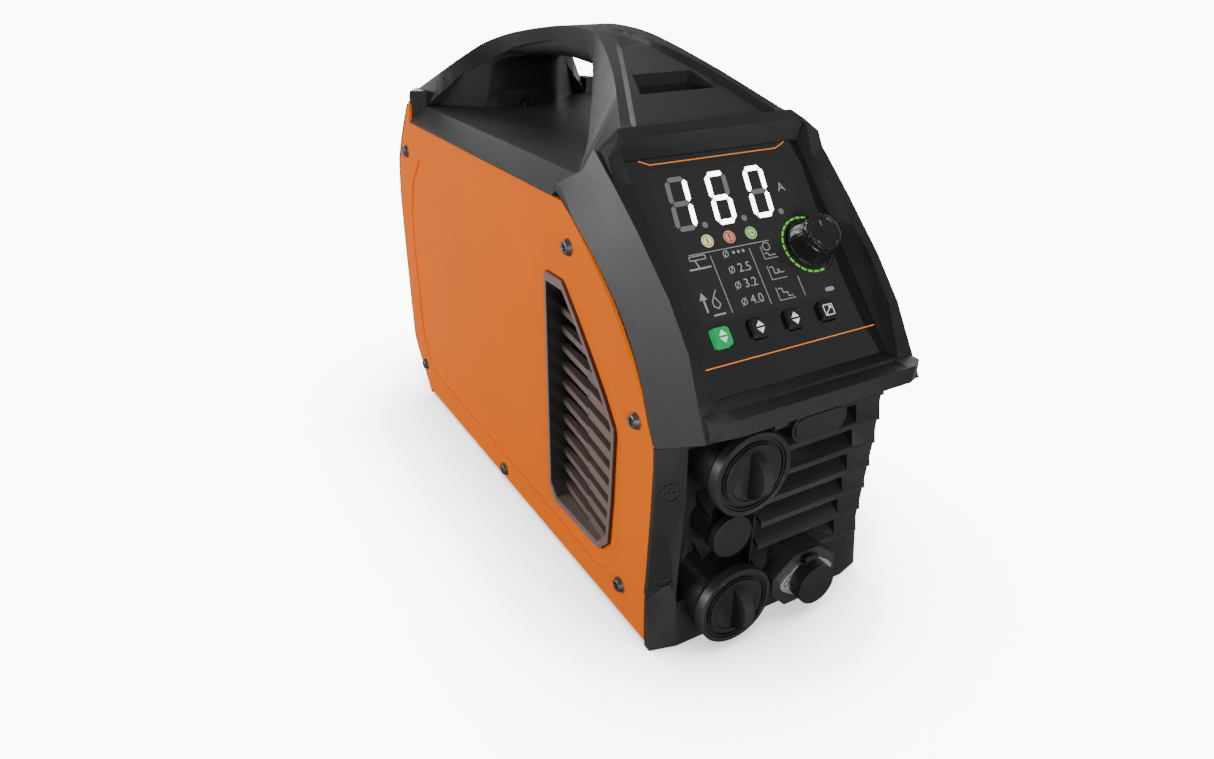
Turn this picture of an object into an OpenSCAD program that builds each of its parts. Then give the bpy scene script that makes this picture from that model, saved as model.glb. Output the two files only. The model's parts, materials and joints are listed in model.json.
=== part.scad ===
// Portable stick welding inverter: two sheet-metal side panels, a hooded control panel, an arched
// carry handle, twist-turn socket covers, louvred vents and the power electronics inside.
// Case frame: x = 0 on the centre plane, y = 0 at the front edge of the side panels, z = 0 at the
// bottom edge of the case. The placed part stands on its feet with its box centred on x and y.

/* [Case] */
// width over the two side panels, mm
case_w = 133.3; // [132:0.1:135]
// thickness of the side panels, mm
panel_t = 1.8; // [1.6:0.1:2.2]
// depth of the pressed field in the side panels, mm
field_depth = 0.8; // [0.4:0.1:1]
// height of the feet under the case edge, mm
foot_h = 3.5; // [3.5:0.5:6]

/* [Front] */
// radius of the raised rings round the welding sockets, mm
socket_ring_r = 20.4; // [20:0.1:21]
// sideways place of the welding sockets, mm
socket_x = -30; // [-31:0.5:-29]
// travel of the panel buttons, mm
button_travel = 0.8; // [0.4:0.1:1]

/* [Vents] */
// number of slats in each side vent
slat_count = 12; // [8:1:12]
// distance between the side vent slats, mm
slat_pitch = 10.4; // [10:0.1:10.6]

/* [Hidden] */
$fn = 64;
half_w = case_w / 2;
inner_w = half_w - panel_t - 0.4;
mid_y = 151.8;

// display glass: line from its bottom edge to its top edge in the y-z plane
glass_y = -17.9;
glass_z = 135.1;
glass_tilt = 47.8;
glass_l = 109.8;
glass_w = 97.4;
glass_t = 2;

knob_x = 30.4;
knob_s = 57.3;
button_s = 24.6;
button_xs = [-33.5, -13.9, 5.5, 24.8];
button_size = 8.8;

upper_y = -26;
upper_z = 98;
lower_y = -22.5;
lower_z = 22.6;
plug_z = 58.5;
plug_y = -12.5;
link_x = 18.7;
link_z = 16.4;
link_y = -15.5;
screw_r = 4.3;
switch_x = -34;
switch_z = 161;
gland_x = 32;
gland_z = 161;
fan_z = 92;
fan_y = 296;

// front edge of the side panels, bottom to top
front_edge = [[0, 0], [1.1, 29], [0.2, 37], [-2.3, 75], [-3.4, 100], [-3, 111], [2.3, 120.6],
    [8.3, 132.1], [16.7, 144.5], [25.1, 155], [33.6, 164], [42.3, 171.8], [51, 179.2], [60, 186],
    [69.1, 192.4], [77.6, 197.1]];
// back edge of the side panels, top to bottom
back_edge = [[287.8, 197.1], [284.5, 211], [286, 210.5], [296.8, 197.2], [307.8, 182.5],
    [317.2, 167.5], [320.8, 152], [322.6, 138.6], [324, 100], [324.6, 63], [324.2, 34.7],
    [318, 24.8], [311, 17.5], [299, 0]];
// pressed field of the side panels
field_edge = [[276, 176], [262, 165], [149, 166], [101, 165], [86, 168.5], [74, 165.5], [55, 147],
    [36, 124.5], [24.5, 106], [22.5, 96], [24.5, 42], [27.5, 29], [38, 16.5], [45, 13.8], [93, 15],
    [169, 17.5], [256, 19], [285, 20], [297, 28], [305, 44], [306, 100], [303, 135], [294, 158]];
// opening for the side vent
vent_edge = [[96.5, 159], [78.4, 159.4], [64.5, 145.8], [50.5, 130.8], [38.2, 116.8],
    [29.1, 104.5], [28, 100], [30.5, 62], [33.5, 35.2], [42.5, 25.8], [90.6, 25.3], [97.6, 32.5]];
vent_mid = [66, 88];
// screw places on each side panel
side_screws = [[300.4, 176.8], [71.7, 177.2], [11.4, 116.7], [22.8, 17.6], [162.7, 6.4],
    [304.4, 19]];

// side view of the hood rim, top to bottom
rim_line = [[59, 222.2], [42.3, 209], [26.1, 195.3], [18.2, 187.9], [2.7, 173.7], [-12.6, 155.8],
    [-22, 138.5], [-30, 124]];
// height of the handle's ridge from front to back
arch_out = [[56, 229.9], [61.5, 229.9], [70.2, 233.8], [82.7, 239.9], [94.3, 245.3],
    [107.3, 250.5], [118.5, 254.5], [129.7, 257.9], [138.7, 259.8], [150, 260.8], [165, 261.2],
    [178, 260.6], [190, 259.2], [204, 257.2], [224.4, 253.6], [237, 250.4], [249.6, 246.1],
    [261, 239.4], [272.3, 231.2], [281, 224.4], [289.2, 217.9], [294.4, 214.2]];
// height of the edge of the hand opening from front to back
opening_edge = [[80.5, 208.7], [86.6, 215.9], [99.2, 224.8], [115.2, 235.1], [127.9, 242.5],
    [138.2, 247.9], [149.6, 250.9], [162.1, 252.5], [182.2, 252.4], [200.2, 250.6],
    [214, 248.2], [228.3, 245.2], [240, 242.8], [248.7, 240.2], [256, 236.8], [261.7, 233],
    [268.4, 224.9], [273.8, 217], [280.5, 208.3]];
band_edge = concat([[56, 208.2], [74, 208.2]], opening_edge, [[289.2, 198], [295, 192]]);

// ---------------------------------------------------------------- helpers

module in_case() {
    translate([0, -mid_y, foot_h]) children();
}

// flat shape drawn in (y, z), thickened along +x from x0 to x1
module side_slab(x0, x1) {
    translate([x0, 0, 0]) rotate([90, 0, 90]) linear_extrude(x1 - x0) children();
}

// flat shape drawn in (x, z), thickened along +y from y0 to y1
module front_slab(y0, y1) {
    translate([0, y1, 0]) rotate([90, 0, 0]) linear_extrude(y1 - y0) children();
}

// round bar along y
module y_rod(x, z, r, y0, y1) {
    translate([x, y0, z]) rotate([-90, 0, 0]) cylinder(h = y1 - y0, r = r);
}

// round bar along x
module x_rod(y, z, r, x0, x1) {
    translate([x0, y, z]) rotate([0, 90, 0]) cylinder(h = x1 - x0, r = r);
}

module z_rod(x, y, r, z0, z1) {
    translate([x, y, z0]) cylinder(h = z1 - z0, r = r);
}

module box(x0, x1, y0, y1, z0, z1) {
    translate([x0, y0, z0]) cube([x1 - x0, y1 - y0, z1 - z0]);
}

// box with four rounded upright corners
module soft_box(w, d, h, r) {
    translate([-w / 2 + r, -d / 2, 0]) cube([w - 2 * r, d, h]);
    translate([-w / 2, -d / 2 + r, 0]) cube([w, d - 2 * r, h]);
    for (sx = [-1, 1]) {
        for (sy = [-1, 1]) {
            translate([sx * (w / 2 - r), sy * (d / 2 - r), 0]) cylinder(h = h, r = r);
        }
    }
}

module both_sides() {
    children();
    mirror([1, 0, 0]) children();
}

// frame of the display glass: x across, y up the slope, z out of the glass
module on_glass() {
    translate([0, glass_y, glass_z]) rotate([glass_tilt, 0, 0]) children();
}

// takes away everything beyond a plane through p that faces n
module beyond(p, n) {
    b = -asin(n[2] / norm(n));
    c = atan2(n[1], n[0]);
    translate(p) rotate([0, b, c]) translate([0, -250, -250]) cube([300, 500, 500]);
}

// closed skin over a row of mirror-symmetric cross-sections with the same number of points
module loft(rings) {
    n = len(rings[0]);
    last = len(rings) - 1;
    quads = [for (i = [0:last - 1]) for (k = [0:n - 1])
        [i * n + k, (i + 1) * n + k, (i + 1) * n + (k + 1) % n, i * n + (k + 1) % n]];
    polyhedron(points = [for (r = rings) each r],
        faces = concat([[for (k = [0:n - 1]) k]], [[for (k = [n - 1:-1:0]) last * n + k]],
        [for (q = quads) q[0] % n < n / 2 - 1 ? [q[0], q[1], q[2]] : [q[0], q[1], q[3]]],
        [for (q = quads) q[0] % n < n / 2 - 1 ? [q[0], q[2], q[3]] : [q[3], q[1], q[2]]]));
}

function shrink(pts, mid, k) = [for (p = pts) mid + k * (p - mid)];
function slide(pts, dy, dz) = [for (p = pts) p + [dy, dz]];
function flip(pts) = [for (i = [len(pts) - 1:-1:0]) pts[i]];

// ---------------------------------------------------------------- case shell

module panel_outline() {
    polygon(concat(front_edge, back_edge));
}

module panel_blank() {
    difference() {
        side_slab(-half_w, -half_w + panel_t) panel_outline();
        side_slab(-half_w - 1, -half_w + field_depth) polygon(field_edge);
        side_slab(-half_w - 1, -half_w + panel_t + 1) polygon(vent_edge);
        for (p = side_screws) {
            x_rod(p[0], p[1], 2.3, -half_w - 1, -half_w + panel_t + 1);
        }
    }
    // folded tab that wraps round the lower front corner
    translate([-half_w, 0.6, 0]) rotate([0, 0, -13.4]) rotate([90, 0, 0])
        translate([0, 0, -panel_t]) linear_extrude(panel_t) polygon([[0, 0], [9.6, 0], [0, 28.4]]);
}

module left_side_panel() {
    color("#f07d0a") in_case() panel_blank();
}

module right_side_panel() {
    color("#f07d0a") in_case() mirror([1, 0, 0]) panel_blank();
}

module vent_slat(z) {
    // the outer edge of each slat runs from flush at the front to sunk at the back
    translate([0, 0, z]) {
        linear_extrude(5.4) polygon([[-half_w + 0.2, 26], [-half_w + 4.4, 62],
            [-half_w + 9.5, 62], [-half_w + 6.5, 26]]);
        translate([0, 0, 1.2]) linear_extrude(3.4) polygon([[-half_w + 4, 60], [-half_w + 8, 100],
            [-half_w + 11, 100], [-half_w + 9, 60]]);
    }
}

module vent_insert() {
    inner = shrink(vent_edge, vent_mid, 0.93);
    outer = shrink(vent_edge, vent_mid, 0.992);
    difference() {
        union() {
            side_slab(-half_w - 0.9, -half_w + 12) polygon(outer);
            side_slab(-half_w + panel_t + 0.1, -half_w + panel_t + 2)
                polygon(shrink(vent_edge, vent_mid, 1.06));
        }
        side_slab(-half_w - 2, -half_w + 14) polygon(inner);
    }
    intersection() {
        side_slab(-half_w, -half_w + 12) polygon(shrink(vent_edge, vent_mid, 0.95));
        union() {
            for (i = [0:slat_count - 1]) {
                vent_slat(30 + i * slat_pitch);
            }
        }
    }
}

module left_vent() {
    color("#232323") in_case() vent_insert();
}

module right_vent() {
    color("#232323") in_case() mirror([1, 0, 0]) vent_insert();
}

module hood_mass() {
    intersection() {
        union() {
            side_slab(-half_w, half_w) polygon(concat([[-5.6, 111.4], [-2.4, 111.6]],
                slide([for (i = [6:15]) front_edge[i]], -0.6, 0.6), [[86, 201.6], [64.6, 213.2],
                [60, 222.4], [59, 222.2]], [for (i = [1:7]) rim_line[i]]));
            side_slab(-47.3, 47.3) polygon([[60, 222.4], [60, 230.1], [54.2, 226.6], [40, 207],
                [50, 205]]);
            side_slab(-47.3, 47.3) polygon([[-20, 133], [-33.3, 133.3], [-36, 127.2], [-29.5, 123.6],
                [-20, 119.2]]);
            both_sides() difference() {
                side_slab(47.2, 58) polygon([[60, 222.2], [60, 230.1], [54.2, 226.6], [44, 209]]);
                beyond([47.2, 57, 230.1], [0.62, -0.1, 0.78]);
            }
            both_sides() difference() {
                side_slab(47.2, 58) polygon([[-20, 134], [-33.3, 133.3], [-36, 127.2], [-20, 119.2]]);
                beyond([47.3, -36, 130], [0.5, -0.86, 0]);
            }
        }
        // the flanks lean in towards the rim
        on_glass() rotate([90, 0, 0]) translate([0, 0, -180]) linear_extrude(300)
            polygon([[-half_w, -60], [-half_w, -24.5], [-56.8, 13], [-56.8, 60], [56.8, 60],
            [56.8, 13], [half_w, -24.5], [half_w, -60]]);
    }
}

module hood_opening() {
    intersection() {
        side_slab(-60, 60) polygon([[-17.9, 135.1], [-34, 133.3], [-90, 133], [-90, 300],
            [45, 300], [54.4, 226.4], [55.9, 216.6]]);
        on_glass() rotate([90, 0, 0]) translate([0, 0, -180]) linear_extrude(300)
            polygon([[-glass_w / 2, -0.3], [-53.9, 15], [-53.9, 100], [53.9, 100], [53.9, 15],
            [glass_w / 2, -0.3]]);
        // the upper corners are cut off
        front_slab(-95, 61) polygon([[-60, 100], [-60, 218.3], [-47.2, 226.6], [-47.2, 310],
            [47.2, 310], [47.2, 226.6], [60, 218.3], [60, 100]]);
    }
}

module hood_back_space() {
    // hollow behind the glass for the boards
    on_glass() translate([-glass_w / 2 - 0.2, -0.2, -34]) cube([glass_w + 0.4, glass_l + 0.4, 34.2]);
    side_slab(-inner_w, inner_w) polygon([[6, 105], [-2, 118], [14, 138], [55, 178], [84, 196],
        [140, 196], [140, 105]]);
}

module control_hood() {
    color("#1f1f20") in_case() {
        difference() {
            hood_mass();
            hood_opening();
            hood_back_space();
            // room for the upper socket ring
            y_rod(socket_x, upper_z, socket_ring_r + 0.4, upper_y - 1, 15.5);
        }
        // screw lugs behind the side panels
        both_sides() difference() {
            side_slab(inner_w - 8, inner_w - 0.1) {
                polygon([[-5, 113], [-5, 122], [4, 126], [18, 124], [18, 111.3], [4, 111.3]]);
                polygon([[42, 174], [48, 182], [64, 187], [79, 184], [79, 171], [62, 169.5]]);
            }
            x_rod(11.4, 116.7, 1.9, 40, half_w + 1);
            x_rod(71.7, 177.2, 1.9, 40, half_w + 1);
        }
    }
}

// front line of the lower shell, bottom to top
shell_line = [[-8.7, -2.9], [-5.1, 26], [-9, 84], [-8.8, 110.6]];

// slanted front corners of the lower shell
module shell_side_cut() {
    loft([for (p = concat([[-8.9, -4]], slide([shell_line[1], shell_line[2]], 0, 0),
        [[-8.8, 112]])) [[53, p[0], p[1]], [53, p[0] - 20, p[1]], [80, p[0] - 20, p[1]],
        [80, p[0] + 4, p[1]], [67.5, p[0] + 4, p[1]]]]);
}

module shell_mass() {
    difference() {
        union() {
            side_slab(-half_w, half_w) polygon(concat(shell_line,
                [[-3.4, 110.6], [-3.8, 100], [-2.7, 75], [-0.2, 37], [0.6, 29.5], [-0.6, -2.9]]));
            side_slab(-inner_w, inner_w) polygon([[-1.5, -2.9], [-4.4, 26], [-8, 84], [-8, 110.6],
                [9, 110.6], [9, 3.8], [14, 3.8], [14, -2.9]]);
        }
        both_sides() shell_side_cut();
        // room for the folded tabs of the side panels
        both_sides() translate([-half_w - 0.5, -0.1, -0.4]) rotate([0, 0, -13.4])
            rotate([90, 0, 0]) translate([-3, 0, -5]) linear_extrude(5.2)
            polygon([[0, -9], [14.4, -9], [14.4, 0.4], [3, 30], [0, 30]]);
    }
}

function shell_y(z) = z > 84 ? -9 : z > 26 ? -5.1 - 3.9 * (z - 26) / 58 : -5.1 - 3.6 * (26 - z) / 29;

slat_levels = [21.5, 35.4, 49.3, 63.3, 77.4, 91.2, 105];

module grille_slat(z, x0, x1) {
    y = shell_y(z) - 0.8;
    side_slab(x0, x1) polygon([[y, z - 0.4], [y + 0.3, z + 2.2], [5.2, z + 10.4], [5.2, z + 7.4]]);
}

module grille_step(z) {
    y = shell_y(z) - 0.8;
    side_slab(47, 62.6) polygon([[y, z], [y + 0.4, z + 1.4], [y + 2.6, z + 12.6], [y + 6, z + 12.6],
        [y + 6, z]]);
}

module boss(x, z, y) {
    y_rod(x, z, socket_ring_r - 2.2, y + 4, 5);
    y_rod(x, z, socket_ring_r, y, y + 4.6);
    translate([x, y + 4.6, z]) rotate([-90, 0, 0])
        cylinder(h = 3, r1 = socket_ring_r, r2 = socket_ring_r - 2.2);
}

module boss_bore(x, z, y) {
    y_rod(x, z, socket_ring_r - 2.4, y - 1, y + 5);
    y_rod(x, z, 15.6, y, 12);
}

module link_boss_shape() {
    polygon([[-20.5, -5], [-20.5, 4.5], [-8, 14.6], [8, 14.6], [20.5, 4.5], [20.5, -5],
        [11, -15.4], [-11, -15.4]]);
}

module front_grille() {
    color("#222223") in_case() {
        difference() {
            union() {
                difference() {
                    shell_mass();
                    box(-52.4, 47, -20, 4.8, 21.5, 108.5);
                    box(47, half_w + 1, -20, -4.6, 22, 112);
                    box(-48, 58, 9.2, 20, 5, 112);
                }
                for (z = slat_levels) {
                    grille_slat(z, -5.5, 47.2);
                    grille_step(z);
                }
                for (z = [35.4, 49.3, 63.3, 77.4]) {
                    grille_slat(z, -37, -20);
                }
                side_slab(-6.5, -4.5) polygon([[5, 22], [-2, 22], [-4.5, 106], [5, 106]]);
                boss(socket_x, upper_z, upper_y);
                boss(socket_x, lower_z, lower_y);
                y_rod(socket_x, plug_z, 9.6, -11.5, 5);
                // blanked-off display of a slotted boss
                for (sx = [-9.3, 9.3]) {
                    y_rod(18.6 + sx, 103.4, 7.4, -13, 5);
                    y_rod(18.6 + sx, 103.4, 5.6, -13.6, 5);
                }
                box(9.3, 27.9, -13, 5, 96, 110.8);
                box(9.3, 27.9, -13.6, 5, 97.8, 109);
                translate([link_x, 0, link_z]) front_slab(link_y, 5) link_boss_shape();
                // polarity marks
                for (m = [[87.5, 1], [37.5, 0]]) {
                    translate([-59.6, shell_y(m[0]) + 1.6, m[0]]) rotate([0, 0, -16])
                        rotate([-90, 0, 0]) {
                        difference() {
                            translate([0, 0, -0.3]) cylinder(h = 1.6, r = 4.8);
                            translate([0, 0, -1]) cylinder(h = 3, r = 4.2);
                        }
                        translate([-2.4, -0.35, -0.3]) cube([4.8, 0.7, 1.6]);
                        if (m[1] == 1) {
                            translate([-0.35, -2.4, -0.3]) cube([0.7, 4.8, 1.6]);
                        }
                    }
                }
            }
            boss_bore(socket_x, upper_z, upper_y);
            boss_bore(socket_x, lower_z, lower_y);
            box(40, 70, -20, 12, 111.1, 125);
            y_rod(socket_x, plug_z, 7.2, -14, 12);
            y_rod(link_x, link_z, 8.2, link_y - 1, 12);
            for (sx = [-12.5, 12.5]) {
                y_rod(link_x + sx, link_z, 1.2, link_y - 1, -6);
            }
            both_sides() x_rod(22.8, 17.6, 1.9, 40, half_w + 1);
        }
        // side lugs for the lower front case screws
        both_sides() difference() {
            box(inner_w - 9, inner_w - 0.1, 6, 32, 8.5, 27);
            x_rod(22.8, 17.6, 1.9, 40, half_w + 1);
        }
    }
}

// ---------------------------------------------------------------- top cover with handle

// smooth curve through a table of (y, z) points
function below(y, t) = len([for (k = [1:len(t) - 2]) if (t[k][0] <= y) k]);
function hermite(u, z1, z2, m1, m2) = z1 * (2 * u * u * u - 3 * u * u + 1)
    + m1 * (u * u * u - 2 * u * u + u) + z2 * (3 * u * u - 2 * u * u * u)
    + m2 * (u * u * u - u * u);
function slope(t, i) = let (a = max(i - 1, 0), b = min(i + 1, len(t) - 1))
    (t[b][1] - t[a][1]) / (t[b][0] - t[a][0]);
function curve(y, t) = let (i = below(y, t), h = t[i + 1][0] - t[i][0])
    hermite((y - t[i][0]) / h, t[i][1], t[i + 1][1], slope(t, i) * h, slope(t, i + 1) * h);

cover_ys = concat([57.5, 61.3, 64.5, 68.2], [for (y = [72.5:4.3:272]) y], [275, 278, 281, 284, 287.4, 291,
    294.4]);

// one cross-section of the arch: side strip, lower and upper edge of the side band
function ridge_x(y) = 275 - curve(y, arch_out);
function band_x(y) = 264.6 - curve(y, band_edge);
function arch_ring(y) = let (rx = ridge_x(y), rz = 275 - rx, bx = band_x(y), bz = 264.6 - bx,
    ex = min(rx + 1.3 * (bx - rx), 66), ez = rz + (ex - rx) / (bx - rx) * (bz - rz))
    [[-half_w, y, 197.4], [-ex, y, max(ez, 198)], [-rx, y, rz], [rx, y, rz],
    [ex, y, max(ez, 198)], [half_w, y, 197.4]];

// how far the front wall and the slanted side walls of the rear pillar lean out at each height
pillar_front = [[205, 0], [207.5, 0], [214, 2], [222, 4], [229, 6], [233.4, 8.5], [236.4, 12.5],
    [238.2, 18], [239.6, 26], [241, 32], [243, 36], [250, 38]];
pillar_side = [[205, 0], [207.5, 0], [214, 0.6], [224, 1.8], [232, 3.2], [236, 5], [239, 7.5],
    [241.5, 11], [243.4, 15], [250, 18]];

function pillar_ring(z) = let (df = curve(z, pillar_front), ds = 1.414 * curve(z, pillar_side),
    corner = 22.2 - df + ds, r = min(16, (corner - 1) / 0.414), cx = corner - 0.414 * r,
    cy = 256 - df + r)
    concat([[-110, 343.8 - ds, z]], [for (a = [-45:9:0]) [-cx + r * sin(a), cy - r * cos(a), z]],
    [for (a = [0:9:45]) [cx + r * sin(a), cy - r * cos(a), z]],
    [[110, 343.8 - ds, z], [110, 360, z], [-110, 360, z]]);

module rear_pillar() {
    loft([for (z = [205.3, 209.6, 214, 218.4, 222.7, 226.6, 230.2, 233.1, 235.4, 237.2, 238.7,
        240.1, 241.6, 243.4, 248.6]) pillar_ring(z)]);
}

module hand_tunnel() {
    difference() {
        side_slab(-70, 70) polygon(concat([[79.6, 207.5]],
            [for (y = [80.6:3.5:282]) [y, curve(min(y, 280.5), opening_edge)]], [[282, 207.5]]));
        rear_pillar();
    }
}

belly_line = [[124, 249], [130, 245.2], [136, 242.6], [142, 241.6], [150, 241.8], [160, 242.4],
    [182.7, 243.4], [204.7, 242.3], [218, 241], [237, 238.6], [264, 233]];
belly_width = [[124, 11.4], [205, 11.4], [226, 14.5], [245, 18], [264, 22]];

// rounded underside of the grip
function belly_ring(y) = let (roof = curve(y, opening_edge), b = min(curve(y, belly_line), roof),
    h = max(roof - b, 0.6), w = curve(y, belly_width))
    concat([for (q = [[0.28, 0], [0.6, 0.1], [0.84, 0.36], [0.96, 0.72], [1, 1.1]])
        [-q[0] * w, y, b + q[1] * h]], [[-w, y, roof + 2], [w, y, roof + 2]],
    [for (q = [[1, 1.1], [0.96, 0.72], [0.84, 0.36], [0.6, 0.1], [0.28, 0]])
        [q[0] * w, y, b + q[1] * h]]);

module grip_belly() {
    loft([for (y = [126:4.5:262]) belly_ring(y)]);
}

module cover_deck() {
    // sloped strip along each side and the flat floor under the hand opening
    front_slab(62.4, 288.4) polygon([[-half_w, 197.4], [-half_w, 198], [-57.1, 207.5],
        [57.1, 207.5], [half_w, 198], [half_w, 197.4]]);
}

module end_blocks() {
    // raised corner at the rear end of each side strip
    both_sides() difference() {
        box(56.9, half_w - 0.1, 276, 294.4, 197.4, 217);
        beyond([half_w, 287.8, 197.1], [0.43, -0.875, -0.219]);
        beyond([66.3, 283.4, 215], [0.784, 0.566, 0.254]);
    }
}

// sunk field that runs up the front of the handle and fades out at the crest
function field_ring(y) = let (z = curve(max(y, 57), arch_out), d = min(2.6, (148 - y) * 0.075),
    w = 39.9 - 0.46 * (y - 62), f = max(w - 3.2, 2))
    [[-f, y, z - d], [-w - 2, y, z + 1.6], [w + 2, y, z + 1.6], [f, y, z - d]];

module face_recess() {
    loft([for (y = [58.6, 63, 67, 71, 75, 79, 83, 87, 91, 95, 99, 103, 107, 111, 115, 119, 123,
        127, 131, 135, 139, 143, 147]) field_ring(y)]);
    // finger pocket
    translate([0, 91.8, 243.4]) rotate([25, 0, 0]) translate([0, 0, -9]) linear_extrude(24)
        polygon([[-20.9, -8], [-16.6, 8], [16.6, 8], [20.9, -8]]);
}

module on_deck_screw() {
    translate([0, 254.6, 208.6]) rotate([50, 0, 0]) children();
}

module top_cover() {
    color("#1f1f20") in_case() difference() {
        union() {
            difference() {
                loft([for (y = cover_ys) arch_ring(y)]);
                hand_tunnel();
            }
            grip_belly();
            cover_deck();
            end_blocks();
        }
        // seam with the hood
        side_slab(-70, 70) polygon([[50, 190], [50, 262], [60.4, 262], [60.4, 223.4],
            [65.7, 213.9], [86.4, 201.6], [86.4, 190]]);
        face_recess();
        // room for the rear panel and for the rear corners of the side panels
        side_slab(-70, 70) polygon([[289.5, 190], [289.5, 209.3], [299.2, 197.8], [299.2, 190]]);
        both_sides() side_slab(inner_w, half_w + 1) polygon([[287.3, 190], [283.9, 211.9],
            [286.5, 211.5], [300, 195], [300, 190]]);
        // hollow underside of the deck, the front leg and the rear block
        front_slab(90, 284) polygon([[-56, 190], [-56, 202], [-52, 204.6], [52, 204.6], [56, 202],
            [56, 190]]);
        intersection() {
            side_slab(-40, 40) polygon([[69, 204], [67, 221], [82, 228], [88, 223], [88, 200]]);
            front_slab(60, 100) polygon([[-34, 198], [-34, 219], [-26, 229], [26, 229], [34, 219],
                [34, 198]]);
        }
        translate([0, 0, 200]) linear_extrude(14) polygon([[-12, 263], [12, 263], [34, 284.2],
            [-34, 284.2]]);
        on_deck_screw() {
            translate([0, 0, -5]) cylinder(h = 24, r = 3.3);
            translate([0, 0, -30]) cylinder(h = 30, r = 1.7);
        }
    }
}

// ---------------------------------------------------------------- rear panel and base

rear_line = [[299, -2], [312.5, 15.5], [319.5, 23.2], [326.2, 33.5], [326.6, 63], [326, 100],
    [324.6, 138.6], [322.8, 152], [319, 168.4], [309.6, 183.6], [298.8, 197.6], [290, 208.4]];

module rear_panel() {
    color("#222223") in_case() difference() {
        union() {
            side_slab(-half_w, half_w) polygon(concat(rear_line, [[289.8, 206]],
                slide([for (i = [3:13]) back_edge[i]], 0.4, 0.2), [[298, -2]]));
            difference() {
                side_slab(-inner_w, inner_w) polygon(concat(rear_line, flip(slide(rear_line,
                    -17, 0))));
                side_slab(-inner_w + 3, inner_w - 3) polygon(concat(slide([for (i = [1:10])
                    rear_line[i]], -3, 0), flip(slide(rear_line, -30, 0))));
                box(-half_w, half_w, 270, 289.6, 190, 220);
                box(-inner_w + 1, inner_w - 1, 270, 296.4, -3, 9.4);
                both_sides() box(inner_w - 2, half_w, 270, 296.4, -3, 16.4);
            }
            // flat seats for the mains switch, the inlet gland and the earth stud
            box(switch_x - 13.5, switch_x + 13.5, 312, 323.9, switch_z - 17.5, switch_z + 17.5);
            y_rod(gland_x, gland_z, 14.5, 310.1, 325.1);
            y_rod(38, 29.6, 7.4, 316, 326.4);
            // flat seat for the fan and four raised pads for the guard
            box(-42, 42, 321.2, 324, fan_z - 42, fan_z + 42);
            for (sx = [-35.75, 35.75]) {
                for (sz = [-35.75, 35.75]) {
                    y_rod(sx, fan_z + sz, 4.4, 322, 326.7);
                }
            }
        }
        // round air outlet
        y_rod(0, fan_z, 38, 300, 340);
        box(switch_x - 10.4, switch_x + 10.4, 300, 340, switch_z - 14.4, switch_z + 14.4);
        y_rod(gland_x, gland_z, 10.2, 300, 340);
        y_rod(38, 29.6, 3, 300, 340);
        for (sx = [-35.75, 35.75]) {
            for (sz = [-35.75, 35.75]) {
                y_rod(sx, fan_z + sz, 1.8, 300, 340);
            }
        }
        both_sides() x_rod(300.4, 176.8, 1.9, 40, half_w + 1);
        both_sides() x_rod(304.4, 19, 1.9, 40, half_w + 1);
    }
}

module base_tray() {
    color("#8d9093") in_case() difference() {
        union() {
            box(-inner_w, inner_w, 16, 296, 0.2, 1.8);
            both_sides() box(inner_w - 1.5, inner_w, 34, 296, 0.2, 16);
            box(-inner_w, inner_w, 294.5, 296, 0.2, 9);
        }
        both_sides() x_rod(162.7, 6.4, 1.9, 40, half_w + 1);
        for (x = [-40, 40]) {
            for (y = [40, 280]) {
                z_rod(x, y, 2.2, -2, 4);
            }
        }
        for (i = [0:8]) {
            for (s = [-1, 1]) {
                box(s * 30 - 18, s * 30 + 18, 90 + i * 18, 96 + i * 18, -1, 3);
            }
        }
    }
}

module foot(x, y) {
    translate([x, y, -foot_h]) soft_box(22, 26, foot_h + 0.1, 5);
    z_rod(x, y, 2.15, -0.5, 4.2);
    z_rod(x, y, 3.6, 2, 4.4);
}

module feet() {
    color("#161616") in_case() {
        for (x = [-40, 40]) {
            foot(x, 40);
            foot(x, 280);
        }
    }
}

// ---------------------------------------------------------------- display group

module display_glass() {
    color("#2a2b2d") in_case() on_glass() difference() {
        translate([-glass_w / 2, 0, -glass_t]) cube([glass_w, glass_l, glass_t]);
        translate([knob_x, knob_s, -5]) cylinder(h = 10, r = 4);
        translate([knob_x, knob_s, -0.6]) difference() {
            cylinder(h = 2, r = 14.6);
            translate([0, 0, -1]) cylinder(h = 4, r = 12.5);
        }
        for (x = button_xs) {
            translate([x, button_s, -5]) soft_box(button_size + 0.7, button_size + 0.7, 10, 2.3);
        }
    }
}

module display_screen() {
    color("#3b3d40") in_case() on_glass() {
        difference() {
            translate([-39.4, 32, -4.4]) cube([74.6, 71.4, 2.2]);
            translate([knob_x, knob_s, -6]) cylinder(h = 6, r = 9);
        }
    }
}

module light_ring() {
    color("#8ff06a") in_case() on_glass() translate([knob_x, knob_s, -0.55]) {
        for (i = [0:19]) {
            rotate([0, 0, 60 + i * 14.6]) intersection() {
                difference() {
                    cylinder(h = 0.8, r = 14.4);
                    translate([0, 0, -1]) cylinder(h = 3, r = 12.7);
                }
                translate([8, -1.5, -1]) cube([10, 3, 3]);
            }
        }
    }
}

module control_board() {
    color("#1d5c34") in_case() on_glass() difference() {
        translate([-46, 4, -9.6]) cube([92, 102, 1.6]);
        for (x = [-42, 42]) {
            for (y = [8, 102]) {
                translate([x, y, -12]) cylinder(h = 6, r = 1.6);
            }
        }
        translate([knob_x, knob_s, -12]) cylinder(h = 6, r = 2.2);
    }
    color("#202224") in_case() on_glass() {
        translate([-30, 50, -12.2]) cube([14, 14, 2.5]);
        translate([-8, 70, -11.8]) cube([10, 8, 2.1]);
        translate([0, 38, -16.5]) cube([26, 7, 6.8]);
    }
}

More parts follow.
